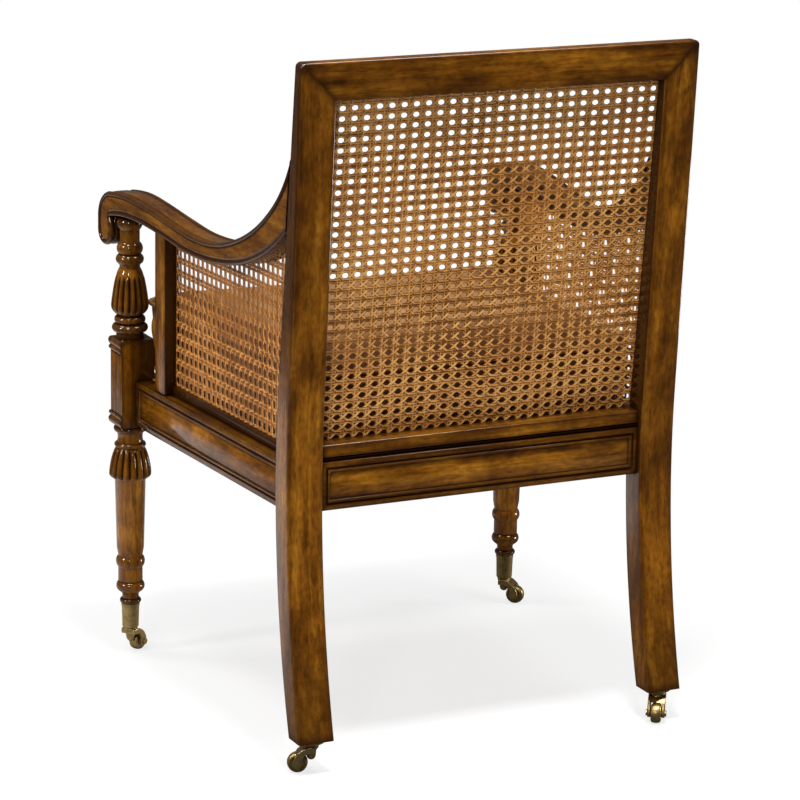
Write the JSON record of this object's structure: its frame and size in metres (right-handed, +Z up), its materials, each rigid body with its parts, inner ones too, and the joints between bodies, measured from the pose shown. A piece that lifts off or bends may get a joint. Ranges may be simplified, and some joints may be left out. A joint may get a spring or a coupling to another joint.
{
  "type": "bergere armchair",
  "caption": "Caned library armchair with scrolled arms, turned and reeded front legs, sabre rear legs, a loose leather seat cushion and brass swivel castors.",
  "frame": {"origin": "on the floor, in the middle of the chair's outline", "axes": "+Z up, the sitter faces -Y, +X is the sitter's left"},
  "size_m": [0.6664, 0.6244, 0.94],
  "materials": {
    "walnut": "polished",
    "cane": "varnished cane",
    "leather": "satin",
    "brass": "aged",
    "steel": "plain"
  },
  "bodies": {
    "frame": {"rear_leg_left": "walnut", "front_leg_left": "walnut", "side_seat_rail_left": "walnut", "arm_left": "walnut", "side_upright_left": "walnut", "side_panel_rail_left": "walnut", "corner_block_front_left": "walnut", "corner_block_rear_left": "walnut", "rear_leg_right": "walnut", "front_leg_right": "walnut", "side_seat_rail_right": "walnut", "arm_right": "walnut", "side_upright_right": "walnut", "side_panel_rail_right": "walnut", "corner_block_front_right": "walnut", "corner_block_rear_right": "walnut", "crest_rail": "walnut", "back_lower_rail": "walnut", "rear_seat_rail": "walnut", "front_seat_rail": "walnut", "crest_dowels": "walnut", "side_cane_left": "cane", "side_cane_right": "cane", "back_cane": "cane", "seat_cane": "cane", "seat_cushion": "leather", "castor_plate_rear_left": "brass", "castor_plate_rear_right": "brass", "castor_cup_front_left": "brass", "castor_cup_front_right": "brass", "castor_plate_screws": "brass", "castor_cup_nails": "brass", "corner_block_screws": "steel"},
    "castor_rear_left": {"castor_horn_rear_left": "brass", "castor_axle_rear_left": "brass"},
    "wheel_rear_left": {"castor_wheel_rear_left": "brass"},
    "castor_rear_right": {"castor_horn_rear_right": "brass", "castor_axle_rear_right": "brass"},
    "wheel_rear_right": {"castor_wheel_rear_right": "brass"},
    "castor_front_left": {"castor_horn_front_left": "brass", "castor_axle_front_left": "brass"},
    "wheel_front_left": {"castor_wheel_front_left": "brass"},
    "castor_front_right": {"castor_horn_front_right": "brass", "castor_axle_front_right": "brass"},
    "wheel_front_right": {"castor_wheel_front_right": "brass"}
  },
  "joints": [
    {"name": "swivel_rear_left", "type": "hinge", "parent": "frame", "child": "castor_rear_left", "pos_m": [0.2615, 0.28392, 0.0389], "axis": [0, 0, 1], "continuous": true},
    {"name": "roll_rear_left", "type": "hinge", "parent": "castor_rear_left", "child": "wheel_rear_left", "pos_m": [0.27788, 0.27645, 0.0138], "axis": [0.4147, 0.91, 0], "continuous": true},
    {"name": "swivel_rear_right", "type": "hinge", "parent": "frame", "child": "castor_rear_right", "pos_m": [-0.2615, 0.28392, 0.0389], "axis": [0, 0, 1], "continuous": true},
    {"name": "roll_rear_right", "type": "hinge", "parent": "castor_rear_right", "child": "wheel_rear_right", "pos_m": [-0.25144, 0.29884, 0.0138], "axis": [-0.829, 0.5592, 0], "continuous": true},
    {"name": "swivel_front_left", "type": "hinge", "parent": "frame", "child": "castor_front_left", "pos_m": [0.3035, -0.255, 0.0389], "axis": [0, 0, 1], "continuous": true},
    {"name": "roll_front_left", "type": "hinge", "parent": "castor_front_left", "child": "wheel_front_left", "pos_m": [0.28847, -0.26491, 0.0138], "axis": [0.5505, -0.8348, 0], "continuous": true},
    {"name": "swivel_front_right", "type": "hinge", "parent": "frame", "child": "castor_front_right", "pos_m": [-0.3035, -0.255, 0.0389], "axis": [0, 0, 1], "continuous": true},
    {"name": "roll_front_right", "type": "hinge", "parent": "castor_front_right", "child": "wheel_front_right", "pos_m": [-0.31666, -0.24272, 0.0138], "axis": [-0.682, -0.7314, 0], "continuous": true}
  ]
}
